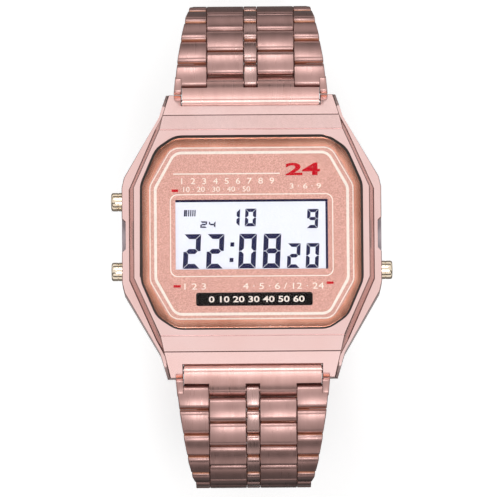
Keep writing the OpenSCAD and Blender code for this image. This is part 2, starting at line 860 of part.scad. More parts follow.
case_body();
crystal();
crystal_gasket();
face_plate();
lcd_panel();
light_panel();
contact_strips();
module_frame();
circuit_board();
board_components();
battery();
battery_clip();
sounder_disc();
sounder_spring();
back_cover();
back_gasket();
back_screws();
light_pusher();
mode_pusher();
start_pusher();
pusher_springs();
pusher_seals();
lug_spring_bars();
end_link_12();
end_link_6();
row_12(1);  // row_12_01
row_12(2);  // row_12_02
row_12(3);  // row_12_03
row_12(4);  // row_12_04
row_12(5);  // row_12_05
row_12(6);  // row_12_06
row_12(7);  // row_12_07
row_12(8);  // row_12_08
row_12(9);  // row_12_09
row_12(10);  // row_12_10
row_12(11);  // row_12_11
row_12(12);  // row_12_12
row_12(13);  // row_12_13
row_12(14);  // row_12_14
row_6(1);  // row_6_01
row_6(2);  // row_6_02
row_6(3);  // row_6_03
row_6(4);  // row_6_04
row_6(5);  // row_6_05
row_6(6);  // row_6_06
row_6(7);  // row_6_07
row_6(8);  // row_6_08
row_6(9);  // row_6_09
row_6(10);  // row_6_10
row_6(11);  // row_6_11
row_6(12);  // row_6_12
row_6(13);  // row_6_13
row_6(14);  // row_6_14
clasp_cover();
clasp_outer_blade();
clasp_inner_blade();
clasp_spring_bar();
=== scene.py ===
# %% [markdown]
# # A digital wristwatch on a metal bracelet
# The watch stands closed on its clasp, with the dial up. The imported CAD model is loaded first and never
# moved: it gives every place and every body. Each cell below dresses one part of it, and says how the
# real part is made and why it is built this way here.

# %% Load the frame
import json
import math
from functools import partial

import bmesh
import bpy
from mathutils import Matrix, Vector


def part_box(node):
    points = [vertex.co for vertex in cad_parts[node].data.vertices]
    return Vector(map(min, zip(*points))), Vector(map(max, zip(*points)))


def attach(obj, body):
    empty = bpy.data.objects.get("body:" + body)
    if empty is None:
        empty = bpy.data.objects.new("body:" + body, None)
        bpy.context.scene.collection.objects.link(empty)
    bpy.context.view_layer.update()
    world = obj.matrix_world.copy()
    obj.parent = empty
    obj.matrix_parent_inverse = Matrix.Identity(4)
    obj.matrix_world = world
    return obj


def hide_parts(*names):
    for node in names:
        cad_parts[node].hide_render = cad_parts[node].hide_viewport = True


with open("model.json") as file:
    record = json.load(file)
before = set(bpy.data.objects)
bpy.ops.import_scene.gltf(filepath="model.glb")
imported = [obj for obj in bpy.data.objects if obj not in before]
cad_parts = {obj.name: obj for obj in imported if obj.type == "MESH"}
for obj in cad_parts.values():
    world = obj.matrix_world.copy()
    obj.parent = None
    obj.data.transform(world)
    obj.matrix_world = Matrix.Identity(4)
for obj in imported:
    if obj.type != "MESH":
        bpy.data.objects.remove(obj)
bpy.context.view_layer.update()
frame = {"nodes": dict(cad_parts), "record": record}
nodes = frame["nodes"]
MM = 0.001

# %% [markdown]
# ## Camera
# A catalogue picture of a watch is taken through a long lens, so its near and far edges stay the same
# size. The camera looks down at the dial from the six o'clock side, 7 degrees off the dial's axis, and
# is turned half a degree.

# %% Camera
plate_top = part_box("face_plate")[1].z
CAMERA_HEIGHT_ANGLE = math.radians(83)
CAMERA_ROLL = math.radians(-0.45)
CAMERA_DISTANCE = 0.95
FRAME_WIDTH = 0.0642
SENSOR = 36.0
AIM_ASIDE, AIM_UP = -0.43 * MM, -1.98 * MM
view_back = Vector((0, -math.cos(CAMERA_HEIGHT_ANGLE), math.sin(CAMERA_HEIGHT_ANGLE)))
view_up = Vector((0, math.sin(CAMERA_HEIGHT_ANGLE), math.cos(CAMERA_HEIGHT_ANGLE)))
target = Vector((AIM_ASIDE, 0, plate_top)) + view_up * AIM_UP
camera_data = bpy.data.cameras.new("long_lens")
camera_data.sensor_width = SENSOR
camera_data.lens = SENSOR * CAMERA_DISTANCE / FRAME_WIDTH
camera_data.clip_start, camera_data.clip_end = 0.01, 20
camera = bpy.data.objects.new("camera", camera_data)
bpy.context.scene.collection.objects.link(camera)
camera.location = target + view_back * CAMERA_DISTANCE
camera.rotation_mode = "QUATERNION"
roll = Matrix.Rotation(CAMERA_ROLL, 3, "Z").to_quaternion()
camera.rotation_quaternion = (-view_back).to_track_quat("-Z", "Y") @ roll
bpy.context.scene.camera = camera
bpy.context.scene.view_settings.view_transform = "Standard"
print("lens", round(camera_data.lens), "mm")

# %% [markdown]
# ## Finishes
# The case is polished and the bracelet is brushed along its length, both in rose gold plating. The two
# differ in how the surface was worked, so each kind of work is one group of shader nodes that any
# material can use: brushing, cloudy polish and printed grain. A group gives only colours, masks and
# heights. Every group reads a place from the material, which is the object's own coordinates.

# %% Helpers for shader groups
def new_group(name, inputs, outputs):
    group = bpy.data.node_groups.new(name, "ShaderNodeTree")
    for title, kind, value in inputs:
        socket = group.interface.new_socket(name=title, in_out="INPUT", socket_type=kind)
        if value is not None:
            socket.default_value = value
    for title, kind in outputs:
        group.interface.new_socket(name=title, in_out="OUTPUT", socket_type=kind)
    start = group.nodes.new("NodeGroupInput")
    end = group.nodes.new("NodeGroupOutput")
    return group, start, end


def feed(tree, socket, value):
    if hasattr(value, "is_linked"):
        tree.links.new(value, socket)
    else:
        socket.default_value = value


def feed_all(tree, node, inputs):
    for title, value in inputs.items():
        feed(tree, node.inputs[title], value)


def add_node(tree, kind, inputs, **settings):
    node = tree.nodes.new(kind)
    for title, value in settings.items():
        setattr(node, title, value)
    feed_all(tree, node, inputs)
    return node


def noise_in(group, place, scale, detail, stretch):
    mapping = add_node(group, "ShaderNodeMapping", {"Vector": place, "Scale": stretch})
    noise = add_node(group, "ShaderNodeTexNoise", {
        "Vector": mapping.outputs["Vector"], "Scale": scale, "Detail": detail})
    return noise.outputs["Fac"]


def spread(group, value, low, high, from_low=0.3, from_high=0.7):
    node = add_node(group, "ShaderNodeMapRange", {
        "Value": value, "From Min": from_low, "From Max": from_high, "To Min": low, "To Max": high})
    return node.outputs["Result"]


def blend_colours(tree, amount, first, second, kind="MIX"):
    return add_node(tree, "ShaderNodeMix", {"Factor": amount, "A": first, "B": second},
                    data_type="RGBA", blend_type=kind).outputs["Result"]


def split(tree, vector):
    return add_node(tree, "ShaderNodeSeparateXYZ", {0: vector}).outputs


def node_of(tree, kind):
    return next(node for node in tree.nodes if node.type == kind)


FLOAT, COLOUR, VECTOR = "NodeSocketFloat", "NodeSocketColor", "NodeSocketVector"
SURFACE_IN = [("Place", VECTOR, None), ("Light", COLOUR, (1, 1, 1, 1)), ("Dark", COLOUR, (0.5, 0.5, 0.5, 1)),
              ("Smooth", FLOAT, 0.2), ("Rough", FLOAT, 0.4)]
SURFACE_OUT = [("Colour", COLOUR), ("Roughness", FLOAT), ("Height", FLOAT)]

# %% Brushing, polish and grain groups
def make_surface_group(name, layers, colour_layer, rough_layer, height_layer):
    group, start, end = new_group(name, SURFACE_IN, SURFACE_OUT)
    given = start.outputs
    values = [noise_in(group, given["Place"], *layer) for layer in layers]
    amount = spread(group, values[colour_layer], 0.0, 1.0)
    feed_all(group, end, {"Colour": blend_colours(group, amount, given["Dark"], given["Light"]),
                          "Roughness": spread(group, values[rough_layer], given["Smooth"], given["Rough"]),
                          "Height": values[height_layer]})
    print(name, "has", len(layers), "layers")
    return group


# A layer is a scale, a detail and a stretch. The three numbers after the layers say which of them makes
# the colour, the roughness and the height.
ROUND, ACROSS = (1, 1, 1), (1, 0.02, 0.02)
brushing = make_surface_group("brushing", [(9000, 2, ACROSS), (700, 3, (1, 0.3, 0.3))], 1, 0, 0)
polish = make_surface_group("cloudy_polish", [(160, 2, ROUND), (2600, 3, (1, 0.15, 1))], 0, 1, 1)
grain = make_surface_group("printed_grain", [(6500, 2, ROUND), (14000, 2, ROUND)], 0, 1, 0)

# %% [markdown]
# A finish is one of those groups in front of a Principled shader. Metal differs from plastic by its
# metallic value, and the height goes through a Bump node, whose strength says how deep the work is.
# Plating looks darker or more like copper where it mirrors a dark room or the next link, and one tent can't
# give each face its own surroundings. So those reflections are painted into the colours of edges, walls and
# link ends, the hoods get a lighter copy of the link colour as painted light, and painted shade darkens the
# bracelet's colour from 39 mm of height down to 35 mm.

# %% Finishes built from the groups
def dress(material, group, light, dark, smooth, rough):
    material.use_nodes = True
    tree = material.node_tree
    shader = tree.nodes["Principled BSDF"]
    place = tree.nodes.new("ShaderNodeTexCoord").outputs["Object"]
    work = add_node(tree, "ShaderNodeGroup", {"Place": place, "Light": (*light, 1), "Dark": (*dark, 1),
                                              "Smooth": smooth, "Rough": rough}, node_tree=group)
    feed_all(tree, shader, {"Base Color": work.outputs["Colour"], "Roughness": work.outputs["Roughness"]})
    return tree, shader


def make_finish(group, name, light, dark, smooth, rough, metal=0.0, depth=0.1, height_mm=0.01, shine=0.5):
    material = bpy.data.materials.new(name)
    tree, shader = dress(material, group, light, dark, smooth, rough)
    height = node_of(tree, "GROUP").outputs["Height"]
    bump = add_node(tree, "ShaderNodeBump", {"Height": height, "Strength": depth, "Distance": height_mm * MM})
    feed_all(tree, shader, {"Normal": bump.outputs["Normal"], "Metallic": metal, "Specular IOR Level": shine})
    return material


polished = partial(make_finish, polish, metal=0.9, depth=0.05)
brushed = partial(make_finish, brushing, metal=1.0, height_mm=0.02)
moulded = partial(make_finish, grain)
# Each finish is a name, its lighter and darker colour, its least and greatest roughness.
case_finish = polished("rose_polish", (0.97, 0.72, 0.70), (0.95, 0.67, 0.64), 0.1, 0.16, metal=0.8)
# Painted reflection: the dark colour of the case's rounded edges stands in for the dark room they mirror.
edge_reflection_paint = polished("painted_edge_reflection", (0.34, 0.20, 0.19), (0.26, 0.15, 0.14), 0.15, 0.25)
# Painted reflection: the copper colour of the bezel walls stands in for the dark room they mirror.
wall_reflection_paint = polished("painted_wall_reflection", (0.62, 0.36, 0.31), (0.50, 0.27, 0.23), 0.15, 0.25)
shade_finish = polished("shaded_notch", (0.66, 0.58, 0.62), (0.58, 0.50, 0.54), 0.3, 0.4, metal=0.6)
rim_finish = polished("copper_rim", (0.82, 0.42, 0.31), (0.62, 0.28, 0.19), 0.15, 0.25, metal=1.0)
pusher_finish = polished("champagne_polish", (0.95, 0.86, 0.70), (0.88, 0.76, 0.58), 0.12, 0.2, metal=1.0,
                         depth=0.01)
brass_finish = polished("thin_brass", (0.80, 0.58, 0.26), (0.66, 0.45, 0.18), 0.2, 0.3, metal=1.0)
link_finish = brushed("rose_brushed", (0.42, 0.263, 0.244), (0.355, 0.221, 0.204), 0.27, 0.38)
# Painted reflection: the copper colour of link ends and pins stands in for light from the next link in the
# gaps.
gap_reflection_paint = brushed("painted_gap_reflection", (0.80, 0.40, 0.26), (0.68, 0.32, 0.20), 0.35, 0.5, metal=0.6)
# Painted light: the hood's colour is a lighter copy of the link colour.
lit_hood_paint = brushed("hood_painted_light", (0.62, 0.39, 0.36), (0.54, 0.33, 0.30), 0.27, 0.38)
centre_finish = brushed("rose_satin", (0.43, 0.286, 0.267), (0.365, 0.24, 0.223), 0.22, 0.34)
steel_finish = brushed("plain_steel", (0.62, 0.62, 0.63), (0.45, 0.45, 0.46), 0.22, 0.36, depth=0.2)
strip_finish = brushed("contact_rubber", (0.75, 0.35, 0.45), (0.25, 0.1, 0.14), 0.4, 0.6, metal=0.0,
                       depth=0.2, height_mm=0.01)
plate_finish = moulded("salmon_dial", (0.66, 0.365, 0.305), (0.40, 0.19, 0.152), 0.4, 0.6, metal=0.25,
                       depth=0.8, height_mm=0.02)
rubber_finish = moulded("black_rubber", (0.04, 0.022, 0.018), (0.02, 0.012, 0.010), 0.5, 0.7, depth=0.3)
frame_finish = moulded("black_moulding", (0.03, 0.03, 0.032), (0.015, 0.015, 0.016), 0.45, 0.6, depth=0.3)
board_finish = moulded("green_laminate", (0.03, 0.14, 0.06), (0.015, 0.09, 0.04), 0.3, 0.45, depth=0.2)
light_finish = moulded("light_guide", (0.75, 0.85, 0.78), (0.68, 0.78, 0.72), 0.2, 0.3)
glass_back = moulded("display_glass", (0.74, 0.77, 0.87), (0.69, 0.73, 0.84), 0.25, 0.4)
# Besides the segments, this ink colours the display's painted shadow strips.
display_ink_and_shadow = moulded("segments_and_painted_shadow", (0.016, 0.016, 0.065), (0.010, 0.010, 0.045), 0.4, 0.55, shine=0.1)
printed = partial(moulded, depth=0.2)
white_print = printed("white_print", (0.80, 0.73, 0.66), (0.70, 0.63, 0.57), 0.4, 0.55, shine=0.1)
red_print = printed("red_print", (0.50, 0.006, 0.015), (0.42, 0.003, 0.010), 0.4, 0.55, shine=0.05)
black_print = printed("black_print", (0.006, 0.004, 0.004), (0.003, 0.002, 0.002), 0.5, 0.65, shine=0.05)
# Painted shade: the bracelet's colour darkens from 39 mm of height down to 35 mm.
SHADE_LOW, SHADE_HIGH, SHADE_DARKEST = 35.0 * MM, 39.0 * MM, 0.82


def shade_by_height(material):
    tree = material.node_tree
    height = split(tree, node_of(tree, "TEX_COORD").outputs["Object"])["Z"]
    share = spread(tree, height, SHADE_DARKEST, 1.0, SHADE_LOW, SHADE_HIGH)
    darker = blend_colours(tree, 1.0, node_of(tree, "GROUP").outputs["Colour"], share, "MULTIPLY")
    feed(tree, tree.nodes["Principled BSDF"].inputs["Base Color"], darker)


for material in (link_finish, centre_finish, gap_reflection_paint):
    shade_by_height(material)
print(len(bpy.data.materials), "materials")

# %% [markdown]
# The crystal is clear moulded glass. Shadow rays pass straight through it, because the renderer doesn't
# focus light through glass and the dial below would turn grey. It gets a very faint cloud in its
# roughness, as wiped glass has.

# %% Crystal
def by_light_path(tree, question, otherwise, answer):
    path = tree.nodes.new("ShaderNodeLightPath")
    return add_node(tree, "ShaderNodeMixShader", {
        "Fac": path.outputs[question], 1: otherwise.outputs[0], 2: answer.outputs[0]})


crystal_finish = bpy.data.materials.new("clear_crystal")
tree, glass = dress(crystal_finish, polish, (1.0, 1.0, 1.0), (0.985, 0.985, 0.99), 0.0, 0.015)
feed_all(tree, glass, {"Transmission Weight": 1.0, "IOR": 1.15})
mix = by_light_path(tree, "Is Shadow Ray", glass, tree.nodes.new("ShaderNodeBsdfTransparent"))
feed(tree, tree.nodes["Material Output"].inputs["Surface"], mix.outputs["Shader"])
print(crystal_finish.name, "index", round(glass.inputs["IOR"].default_value, 2))

# %% [markdown]
# ## Pieces that keep their CAD shape
# Stamped, turned and moulded parts inside the case can't be seen from outside, and their CAD shapes are
# right, so they only get their finishes. The table names a finish for each node.

# %% Finishes for the CAD nodes
node_finish = {
    "crystal": crystal_finish, "crystal_gasket": rubber_finish, "face_plate": plate_finish,
    "lcd_panel": glass_back, "light_panel": light_finish, "contact_strips": strip_finish,
    "module_frame": frame_finish, "circuit_board": board_finish, "board_components": frame_finish,
    "battery": steel_finish, "battery_clip": steel_finish, "sounder_disc": brass_finish,
    "sounder_spring": brass_finish, "back_cover": steel_finish, "back_gasket": rubber_finish,
    "back_screws": steel_finish, "pusher_springs": steel_finish, "pusher_seals": rubber_finish,
    "lug_spring_bars": steel_finish, "clasp_spring_bar": steel_finish, "case_body": case_finish,
    "clasp_cover": case_finish, "clasp_outer_blade": link_finish, "clasp_inner_blade": link_finish,
    "light_pusher": pusher_finish, "mode_pusher": pusher_finish, "start_pusher": pusher_finish,
}
for name, node in nodes.items():
    node.data.materials.clear()
    node.data.materials.append(node_finish.get(name, link_finish))
print(len(nodes), "nodes finished")

# %% [markdown]
# ## Edges of pressed and machined metal
# No real edge is sharp: polishing rounds the case, and a tumbler rounds the clasp. An edge that catches the
# light is what makes metal look like metal. A copy of the CAD mesh is merged, its flat faces are joined
# again, and a Bevel rounds every edge that is sharper than the limit. The case has tiny edges beside long
# ones, and they would hold such a bevel back. So its long upper edges get a weight, and only they are
# rounded. Their rounding is painted dark, a painted reflection of the room outside the tent.

# %% Helpers for pieces
def add_piece(name, mesh, finish):
    piece = bpy.data.objects.new(name, mesh)
    bpy.context.scene.collection.objects.link(piece)
    if finish is not None:
        mesh.materials.clear()
        mesh.materials.append(finish)
    return piece


def baked(piece):
    graph = bpy.context.evaluated_depsgraph_get()
    mesh = bpy.data.meshes.new_from_object(piece.evaluated_get(graph))
    piece.modifiers.clear()
    piece.data = mesh


def smooth_by_angle(mesh, degrees):
    for polygon in mesh.polygons:
        polygon.use_smooth = True
    mesh.set_sharp_from_angle(angle=math.radians(degrees))


def mesh_of(work, name):
    bmesh.ops.recalc_face_normals(work, faces=work.faces)
    mesh = bpy.data.meshes.new(name)
    work.to_mesh(mesh)
    work.free()
    return mesh

# %% Round the edges of a node
MERGE_DISTANCE, FLAT_DEGREES, SMOOTH_DEGREES = 2e-6, 1.5, 40
LONG_EDGE, LEAST_RISE = 0.9 * MM, 0.3
LUG_X, LUG_Y = 11.2 * MM, 15.9 * MM
EDGE_SLOT, WALL_SLOT, NOTCH_SLOT = 1, 2, 3


def weigh_long_edges(work, limit):
    weight = work.edges.layers.float.new("bevel_weight_edge")
    sharp = math.radians(limit)
    for line in work.edges:
        if not line.is_manifold or line.calc_length() < LONG_EDGE or line.calc_face_angle() < sharp:
            continue
        middle = (line.verts[0].co + line.verts[1].co) / 2
        beside_lug = abs(middle.y) > LUG_Y and abs(middle.x) > LUG_X
        if max(abs(face.normal.z) for face in line.link_faces) > LEAST_RISE and not beside_lug:
            line[weight] = 1.0


def rounded_copy(node, name, width_mm, finish, segments=2, limit=14, reshape=None, edge=None):
    mesh = nodes[node].data.copy()
    work = bmesh.new()
    work.from_mesh(mesh)
    bmesh.ops.remove_doubles(work, verts=work.verts, dist=MERGE_DISTANCE)
    flat = math.radians(FLAT_DEGREES)
    bmesh.ops.dissolve_limit(work, angle_limit=flat, verts=work.verts, edges=work.edges)
    if reshape is not None:
        reshape(work)
    if edge is not None:
        weigh_long_edges(work, limit)
    work.to_mesh(mesh)
    work.free()
    piece = add_piece(name, mesh, finish)
    bevel = piece.modifiers.new("rounding", "BEVEL")
    bevel.width = width_mm * MM
    bevel.segments = segments
    bevel.angle_limit = math.radians(limit)
    bevel.limit_method = "ANGLE" if edge is None else "WEIGHT"
    bevel.use_clamp_overlap = edge is None
    # The rounding gets the edge material, whose dark colour is a painted reflection.
    if edge is not None:
        mesh.materials.append(edge)
        bevel.material = EDGE_SLOT
    baked(piece)
    smooth_by_angle(piece.data, SMOOTH_DEGREES)
    flats = piece.modifiers.new("flat_faces", "WEIGHTED_NORMAL")
    flats.keep_sharp = True
    baked(piece)
    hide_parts(node)
    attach(piece, next(b for b, members in frame["record"]["behaviour"]["bodies"].items()
                        if node in members))
    print(name, len(piece.data.polygons), "faces")
    return piece

# %% [markdown]
# The bezel's side walls lean outwards a little, so that a narrow band of them shows from above. They get a
# copper colour that is a painted reflection of the dark room, and the floors of the notches in the wings get
# painted shade.

# %% Case, back, crystal and clasp
case_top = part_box("case_body")[1].z
BEZEL_HEIGHT = 2.6 * MM
WALL_X, WALL_HALF, WALL_LEAN = 15.25 * MM, 7 * MM, (0.55 * MM, 0.0)
CORNER_X, CORNER_Y, CORNER_LEAN = 11.9 * MM, 13.4 * MM, (0.495 * MM, 0.22 * MM)
WALL_NEAR, CORNER_NEAR, FOOT_NEAR = 0.03 * MM, 0.05 * MM, 0.1 * MM
STEEP, LEVEL, WALL_DEPTH = 0.5, 0.9, 2 * MM
NOTCH_DEPTH, NOTCH_X, NOTCH_HALF = 1 * MM, 15 * MM, 3 * MM
wing_height = case_top - BEZEL_HEIGHT


def lean_walls(work):
    leaned = 0
    for vertex in work.verts:
        x, y, z = vertex.co
        on_wall = abs(abs(x) - WALL_X) < WALL_NEAR and abs(y) < WALL_HALF
        on_corner = abs(abs(x) - CORNER_X) < CORNER_NEAR and abs(abs(y) - CORNER_Y) < CORNER_NEAR
        if z < wing_height + FOOT_NEAR and (on_wall or on_corner):
            lean = WALL_LEAN if on_wall else CORNER_LEAN
            vertex.co.x += math.copysign(lean[0], x)
            vertex.co.y += math.copysign(lean[1], y)
            leaned += 1
    print("leaned", leaned, "corners")


case = rounded_copy("case_body", "polished_case", 0.085, case_finish, limit=3.5,
                    reshape=lean_walls, edge=edge_reflection_paint)
# The walls get a copper colour that is a painted reflection, and the notch floors get painted shade.
case.data.materials.append(wall_reflection_paint)
case.data.materials.append(shade_finish)
for polygon in case.data.polygons:
    x, y, z = polygon.center
    in_notch = z < wing_height - NOTCH_DEPTH and abs(x) > NOTCH_X and abs(y) < NOTCH_HALF
    if abs(polygon.normal.z) < STEEP and z > wing_height - WALL_DEPTH:
        polygon.material_index = WALL_SLOT
    elif polygon.normal.z > LEVEL and in_notch:
        polygon.material_index = NOTCH_SLOT
# The third value is the width of the rounding, in millimetres.
rounded_copy("back_cover", "screwed_back", 0.1, steel_finish)
rounded_copy("back_screws", "slotted_screws", 0.04, steel_finish)
rounded_copy("crystal", "chamfered_crystal", 0.16, crystal_finish)
rounded_copy("clasp_cover", "pressed_clasp", 0.12, case_finish)
rounded_copy("clasp_outer_blade", "outer_clasp_blade", 0.08, link_finish)
rounded_copy("clasp_inner_blade", "inner_clasp_blade", 0.08, link_finish)

# %% [markdown]
# ## Bracelet
# A link bracelet is made of short bars of pressed steel with round ends. Two outer links and a centre
# link turn on one pin, the inner pair sits half a pitch further on, and each row is a little narrower
# than the last. That is a rule, so Geometry Nodes make it: one group makes a bar with rounded edges, a
# second one joins seven solids to a row and puts it on its pin, and each row's numbers come from the
# CAD boxes or from the same values as the part's source. The first row also has an ear on each side,
# and the last row of the twelve o'clock half has short inner links and no far pin, because the loop is
# opened there.

# %% Helpers for geometry groups
def geometry_group(name, floats, extra=()):
    group = bpy.data.node_groups.new(name, "GeometryNodeTree")
    for title, value in floats:
        socket = group.interface.new_socket(name=title, in_out="INPUT", socket_type="NodeSocketFloat")
        socket.default_value = value
    for title, kind in extra:
        group.interface.new_socket(name=title, in_out="INPUT", socket_type=kind)
    group.interface.new_socket(name="Geometry", in_out="OUTPUT", socket_type="NodeSocketGeometry")
    return group, group.nodes.new("NodeGroupInput"), group.nodes.new("NodeGroupOutput")


def calc(group, kind, first, second=None):
    values = {0: first} if second is None else {0: first, 1: second}
    return add_node(group, "ShaderNodeMath", values, operation=kind).outputs[0]


def arithmetic(group):
    return [partial(calc, group, kind) for kind in ("ADD", "SUBTRACT", "MULTIPLY", "DIVIDE")]


def vector_of(group, x, y, z):
    return add_node(group, "ShaderNodeCombineXYZ", {0: x, 1: y, 2: z}).outputs[0]


def moved(group, geometry, place):
    return add_node(group, "GeometryNodeSetPosition", {"Geometry": geometry, "Position": place}).outputs[0]


def split_place(group):
    return split(group, group.nodes.new("GeometryNodeInputPosition").outputs[0])

# %% [markdown]
# ### One link
# A line along the pin is swept with a ring, and its points crowd together at both ends, where the edge will
# be rounded. The ring's halves are then made fuller and drawn apart to the link's length, the edges are drawn
# in, the top is crowned and one side is narrowed. Faces that look along the bracelet get a copper colour, a
# painted reflection of the link beside it.

# %% A bar with round ends and rounded edges
EDGE_STEPS, RING_POINTS = 4, 32
FULLNESS, END_FACING = 0.72, 0.95


def swept_ring(group, low_x, high_x, radius, edge):
    add, subtract, multiply, divide = arithmetic(group)
    line = add_node(group, "GeometryNodeCurvePrimitiveLine", {
        "Start": vector_of(group, low_x, 0, 0), "End": vector_of(group, high_x, 0, 0)})
    points = add_node(group, "GeometryNodeResampleCurve", {
        "Curve": line.outputs[0], "Count": 2 * EDGE_STEPS + 2})
    index = group.nodes.new("GeometryNodeInputIndex").outputs[0]
    near = calc(group, "MINIMUM", index, subtract(2 * EDGE_STEPS + 1, index))
    cosine = calc(group, "COSINE", multiply(near, math.pi / 2 / EDGE_STEPS))
    inset = multiply(edge, subtract(1, cosine))
    second_half = calc(group, "GREATER_THAN", index, EDGE_STEPS + 0.5)
    first_x, second_x = add(low_x, inset), subtract(high_x, inset)
    x = add(first_x, multiply(second_half, subtract(second_x, first_x)))
    circle = add_node(group, "GeometryNodeCurvePrimitiveCircle", {
        "Resolution": RING_POINTS, "Radius": divide(radius, math.cos(math.pi / RING_POINTS))})
    ring = add_node(group, "GeometryNodeTransform", {
        "Geometry": circle.outputs[0], "Rotation": (0, 0, math.pi / RING_POINTS)})
    spine = moved(group, points.outputs["Curve"], vector_of(group, x, 0, 0))
    return add_node(group, "GeometryNodeCurveToMesh", {
        "Curve": spine, "Profile Curve": ring.outputs[0], "Fill Caps": True}).outputs["Mesh"]


def drawn_apart(group, ring, radius, length, reach):
    add, _, multiply, divide = arithmetic(group)
    px, py, pz = split_place(group)
    fuller = []
    for part in (py, pz):
        full = calc(group, "POWER", calc(group, "ABSOLUTE", divide(part, radius)), FULLNESS)
        fuller.append(multiply(multiply(calc(group, "SIGN", part), full), radius))
    full_ends = moved(group, ring, vector_of(group, px, multiply(fuller[0], reach), fuller[1]))
    px, py, pz = split_place(group)
    long_y = add(py, multiply(calc(group, "GREATER_THAN", py, 0), length))
    return moved(group, full_ends, vector_of(group, px, long_y, pz))


def edges_drawn_in(group, bar, into):
    add, subtract, multiply, divide = arithmetic(group)
    sizes = ("From", "To", "Length", "Radius", "Edge")
    low_x, high_x, length, radius, edge = (into[title] for title in sizes)
    px, py, pz = split_place(group)
    axis_y = calc(group, "MINIMUM", calc(group, "MAXIMUM", py, 0), length)
    from_edge = calc(group, "MINIMUM", subtract(px, low_x), subtract(high_x, px))
    part = subtract(1, calc(group, "MINIMUM", divide(from_edge, edge), 1))
    left = calc(group, "MAXIMUM", subtract(1, multiply(part, part)), 0)
    round_in = subtract(1, calc(group, "SQRT", left))
    kept = subtract(1, divide(multiply(round_in, edge), radius))
    new_y = add(axis_y, multiply(subtract(py, axis_y), kept))
    half_length = multiply(length, 0.5)
    off_middle = divide(subtract(py, half_length), add(half_length, radius))
    fall = multiply(into["Crown"], multiply(off_middle, off_middle))
    new_z = multiply(multiply(pz, kept), subtract(1, fall))
    across = divide(subtract(px, low_x), subtract(high_x, low_x))
    new_x = subtract(px, multiply(multiply(into["Narrowing"], add(new_y, radius)), across))
    return moved(group, bar, vector_of(group, new_x, new_y, new_z))


def make_bar_group():
    group, start, end = geometry_group("rounded_bar", [
        ("From", -1.0), ("To", 1.0), ("Length", 1.6), ("Radius", 0.72), ("Edge", 0.12), ("Narrowing", 0.0),
        ("Crown", 0.0), ("Reach", 1.0)], [("Finish", "NodeSocketMaterial")])
    into = start.outputs
    ring = swept_ring(group, into["From"], into["To"], into["Radius"], into["Edge"])
    bar = drawn_apart(group, ring, into["Radius"], into["Length"], into["Reach"])
    rounded = edges_drawn_in(group, bar, into)
    whole = add_node(group, "GeometryNodeSetMaterial", {"Geometry": rounded, "Material": into["Finish"]})
    facing = split(group, group.nodes.new("GeometryNodeInputNormal").outputs[0])
    # Painted reflection: faces that look along the bracelet get the copper colour of light from the next
    # link.
    at_end = calc(group, "GREATER_THAN", calc(group, "ABSOLUTE", facing["Y"]), END_FACING)
    ends = add_node(group, "GeometryNodeSetMaterial", {
        "Geometry": whole.outputs[0], "Selection": at_end, "Material": gap_reflection_paint})
    feed(group, end.inputs["Geometry"], ends.outputs[0])
    return group


bar_group = make_bar_group()
print("rounded_bar", len(bar_group.nodes), "nodes")

# %% [markdown]
# ### One row
# The row group calls the bar group for each link on one side and mirrors it, because the bracelet is
# symmetric. Mirroring turns faces inside out, so Flip Faces turns them back. The last nodes turn the row
# to its slope, move it to its pin and, for the six o'clock half, mirror it again.

# %% Helpers for the row group
def call_bar(group, sizes, finish, shift_y=0.0):
    bar = add_node(group, "GeometryNodeGroup", {**sizes, "Finish": finish}, node_tree=bar_group)
    return add_node(group, "GeometryNodeTransform", {
        "Geometry": bar.outputs[0], "Translation": vector_of(group, 0, shift_y, 0)}).outputs[0]


def mirrored(group, geometry, scale):
    flip = add_node(group, "GeometryNodeTransform", {"Geometry": geometry, "Scale": scale})
    return add_node(group, "GeometryNodeFlipFaces", {0: flip.outputs[0]}).outputs[0]


def joined(group, parts):
    node = group.nodes.new("GeometryNodeJoinGeometry")
    for part in parts:
        group.links.new(part, node.inputs[0])
    return node.outputs[0]


def chosen(group, size, limit, above, below=None):
    sides = {"True": above} if below is None else {"True": above, "False": below}
    sides["Switch"] = calc(group, "GREATER_THAN", size, limit)
    return add_node(group, "GeometryNodeSwitch", sides, input_type="GEOMETRY").outputs[0]


def placed(group, geometry, into, end):
    radians = calc(group, "MULTIPLY", into["Slope"], -math.pi / 180)
    twelve = add_node(group, "GeometryNodeTransform", {
        "Geometry": geometry, "Rotation": vector_of(group, radians, 0, 0),
        "Translation": vector_of(group, 0, into["Pin Y"], into["Pin Z"])}).outputs[0]
    half = chosen(group, into["Six"], 0.5, mirrored(group, twelve, (1, -1, 1)), twelve)
    real = add_node(group, "GeometryNodeRealizeInstances", {0: half})
    feed(group, end.inputs["Geometry"], real.outputs[0])

# %% The row group
# All the bracelet's sizes are in millimetres here, and each row is scaled once, when it is baked. A row
# whose ear or far pin is smaller than SMALLEST has none.
PITCH, LINK_RADIUS, LINK_EDGE = 3.2, 0.72, 0.12
CROWN, END_REACH, OUTER_REACH, OPEN_REACH, LINE_GAP = 0.3, 1.05, 1.09, 0.72, 0.03
INNER_HALF, CENTRE_HALF = 5.65, 0.85
PIN_RADIUS, PIN_EDGE, PIN_INSET = 0.33, 0.08, 0.3
EAR_FROM, EAR_TO, EAR_LENGTH, EAR_RADIUS, EAR_EDGE, EAR_NARROWING = 8.94, 10.0, 0.93, 0.7, 0.1, 0.1
SMALLEST = 0.01
row_group, start, end = geometry_group("bracelet_row", [
    ("Wide", 10.0), ("Narrow", 9.5), ("Pin Half", 9.0), ("Far Pin Half", 8.5), ("Inner Length", 1.6),
    ("Slope", 0.0), ("Pin Y", 0.0), ("Pin Z", 0.0), ("Six", 0.0), ("Ear", 0.0),
    ("Outer Reach", 1.0), ("Inner Reach", 1.0)])
into = start.outputs
